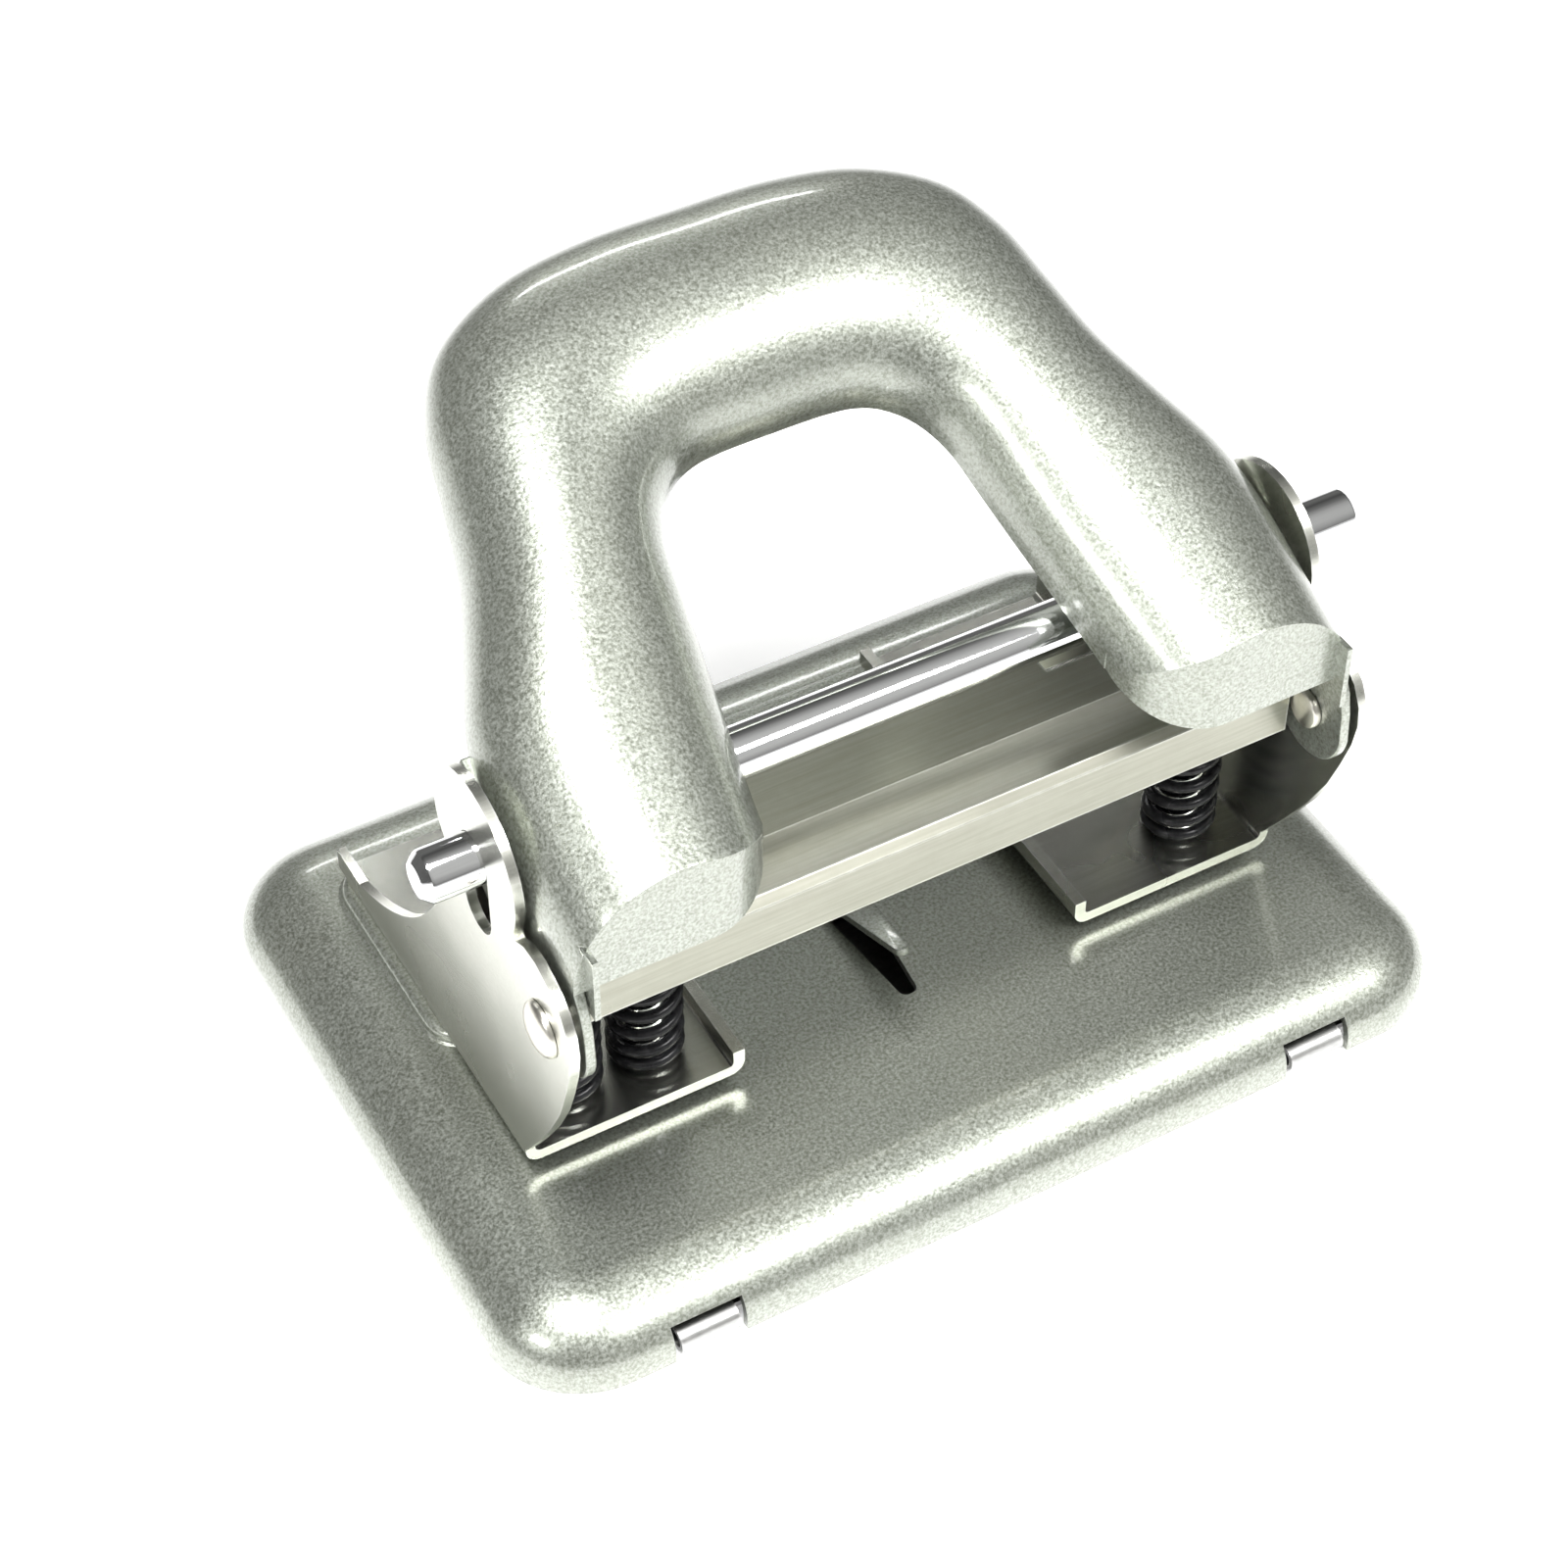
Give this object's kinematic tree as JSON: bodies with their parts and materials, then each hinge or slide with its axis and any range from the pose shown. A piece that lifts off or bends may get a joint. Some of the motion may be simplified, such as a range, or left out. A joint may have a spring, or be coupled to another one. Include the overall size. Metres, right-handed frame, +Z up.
{
  "type": "hole punch",
  "caption": "Desk hole punch in pressed steel with a U-shaped channel handle, a sliding drive rod through its side ears, and coil springs on its punch pins",
  "frame": {"origin": "on the desk, under the middle of the base", "axes": "+X runs along the drive rod, to the right as seen from the side where paper goes in; +Y points away from that side; +Z is up"},
  "size_m": [0.12, 0.085, 0.0865],
  "materials": {
    "hammertone_paint": "gloss",
    "plated_sheet": "satin",
    "satin_plate": "satin",
    "dull_steel": "matte",
    "polished_rod": "gloss",
    "bright_rivet": "gloss",
    "black_spring": "gloss"
  },
  "bodies": {
    "frame": {"base_tray": "hammertone_paint", "left_bracket": "satin_plate", "right_bracket": "satin_plate", "crossbar": "dull_steel", "pivot_rivet_left": "bright_rivet", "pivot_rivet_right": "bright_rivet", "die_bush_left_outer": "dull_steel", "die_bush_left_inner": "dull_steel", "die_bush_right": "dull_steel", "foot_rivets_left": "bright_rivet", "foot_rivets_right": "bright_rivet", "punch_spring_left_outer": "black_spring", "punch_spring_left_inner": "black_spring", "punch_spring_right": "black_spring"},
    "handle": {"handle": "hammertone_paint"},
    "pin_left_outer": {"punch_pin_left_outer": "polished_rod", "spring_collar_left_outer": "dull_steel"},
    "pin_left_inner": {"punch_pin_left_inner": "polished_rod", "spring_collar_left_inner": "dull_steel"},
    "pin_right": {"punch_pin_right": "polished_rod", "spring_collar_right": "dull_steel"},
    "rod": {"drive_rod": "polished_rod"},
    "cover": {"bottom_cover": "plated_sheet"}
  },
  "joints": [
    {"name": "handle_pivot", "type": "hinge", "parent": "frame", "child": "handle", "pos_m": [0, -0.0253, 0.039], "axis": [-1, 0, 0], "range_deg": [0, 22.2], "stiffness_Nm_per_rad": 0.3, "springref_deg": -17.19},
    {"name": "right_punch_slide", "type": "slide", "parent": "frame", "child": "pin_right", "axis": [0, 0, -1], "range_m": [0, 0.0073], "deforming": ["punch_spring_right"]},
    {"name": "outer_punch_slide", "type": "slide", "parent": "frame", "child": "pin_left_outer", "axis": [0, 0, -1], "range_m": [0, 0.0073], "deforming": ["punch_spring_left_outer"]},
    {"name": "inner_punch_slide", "type": "slide", "parent": "frame", "child": "pin_left_inner", "axis": [0, 0, -1], "range_m": [0, 0.0073], "deforming": ["punch_spring_left_inner"]},
    {"name": "rod_select", "type": "slide", "parent": "pin_right", "child": "rod", "axis": [-1, 0, 0], "range_m": [0, 0.0051]},
    {"name": "cover_hinge", "type": "hinge", "parent": "frame", "child": "cover", "pos_m": [0, -0.04095, 0.0017], "axis": [-1, 0, 0], "range_deg": [0, 60]}
  ],
  "couplings": [
    {"joint": "right_punch_slide", "follows": "handle_pivot", "m_per_rad": 0.01884},
    {"joint": "outer_punch_slide", "follows": "handle_pivot", "m_per_rad": 0.01884},
    {"joint": "inner_punch_slide", "follows": "handle_pivot", "m_per_rad": 0.01884}
  ]
}
